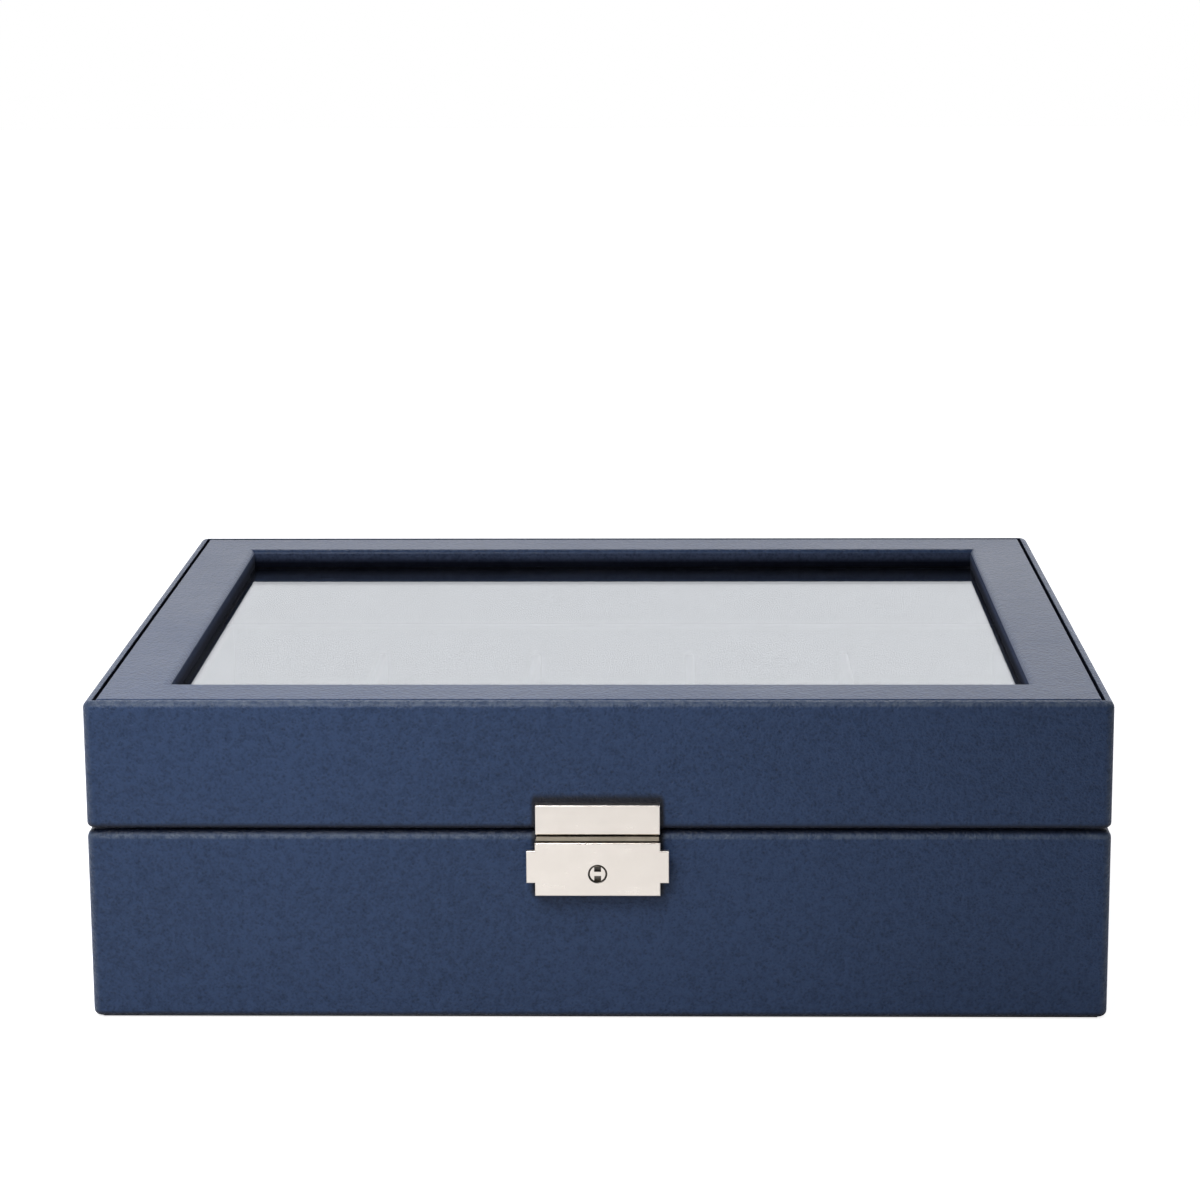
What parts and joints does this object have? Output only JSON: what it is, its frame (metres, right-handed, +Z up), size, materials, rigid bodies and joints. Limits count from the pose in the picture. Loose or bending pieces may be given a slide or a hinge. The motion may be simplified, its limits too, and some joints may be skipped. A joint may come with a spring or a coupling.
{
  "type": "watch box",
  "caption": "Leatherette watch box with a glazed hinged lid, a sliding key lock and velvet cushions in divided compartments.",
  "frame": {"origin": "centre of the underside of the felt that the box rests on", "axes": "+X to the right along the box's width, +Y to the back, +Z up; the lock is on the -Y face"},
  "size_m": [0.285, 0.2289, 0.092],
  "materials": {
    "leatherette": "navy pebble-grain leatherette, satin",
    "board": "raw fibreboard, hidden",
    "base_felt": "black felt",
    "suede": "charcoal microsuede, matt",
    "cushion_velvet": "charcoal short-pile velvet",
    "glass": "clear float glass",
    "hinge_metal": "nickel-plated steel",
    "fixings": "nickel-plated steel",
    "lock_nickel": "satin nickel plate, warm",
    "lock_steel": "plain plated steel, inside the lock"
  },
  "bodies": {
    "base": {"base_front_board": "board", "base_back_board": "board", "base_left_board": "board", "base_right_board": "board", "base_bottom_board": "board", "base_cover": "leatherette", "base_felt": "base_felt", "floor_pad": "suede", "collar_front": "suede", "collar_back": "suede", "collar_left": "suede", "collar_right": "suede", "short_divider_1": "suede", "short_divider_2": "suede", "short_divider_3": "suede", "short_divider_4": "suede", "long_divider": "suede", "watch_cushion_1": "cushion_velvet", "watch_cushion_2": "cushion_velvet", "watch_cushion_3": "cushion_velvet", "watch_cushion_4": "cushion_velvet", "watch_cushion_5": "cushion_velvet", "watch_cushion_6": "cushion_velvet", "watch_cushion_7": "cushion_velvet", "watch_cushion_8": "cushion_velvet", "watch_cushion_9": "cushion_velvet", "watch_cushion_10": "cushion_velvet", "hinge_base_leaf_left": "hinge_metal", "hinge_base_leaf_right": "hinge_metal", "hinge_pin_left": "hinge_metal", "hinge_pin_right": "hinge_metal", "hinge_base_screws": "fixings", "lock_case": "lock_steel", "lock_screws": "fixings", "lock_spring": "lock_steel"},
    "lid": {"lid_front_board": "board", "lid_back_board": "board", "lid_left_board": "board", "lid_right_board": "board", "lid_cover": "leatherette", "lid_lining": "suede", "frame_cover": "leatherette", "frame_front_rail": "board", "frame_back_rail": "board", "frame_left_rail": "board", "frame_right_rail": "board", "glass_bead_front": "suede", "glass_bead_back": "suede", "glass_bead_left": "suede", "glass_bead_right": "suede", "glass_pane": "glass", "hinge_lid_leaf_left": "hinge_metal", "hinge_lid_leaf_right": "hinge_metal", "hinge_lid_screws": "fixings", "hasp": "lock_nickel", "hasp_rivets": "fixings"},
    "lock_slide": {"lock_face": "lock_nickel"},
    "key": {"key_cylinder": "lock_nickel", "lock_cam": "lock_steel"}
  },
  "joints": [
    {"name": "lid_hinge", "type": "hinge", "parent": "base", "child": "lid", "pos_m": [0, 0.1124, 0.0554], "axis": [-1, 0, 0], "range_deg": [0, 100]},
    {"name": "lock_slide", "type": "slide", "parent": "base", "child": "lock_slide", "axis": [1, 0, 0], "range_m": [0, 0.0025], "stiffness_N_per_m": 400, "springref_m": -0.004, "deforming": ["lock_spring"]},
    {"name": "key_turn", "type": "hinge", "parent": "lock_slide", "child": "key", "pos_m": [0, -0.11, 0.04405], "axis": [0, 1, 0], "range_deg": [0, 90]}
  ]
}
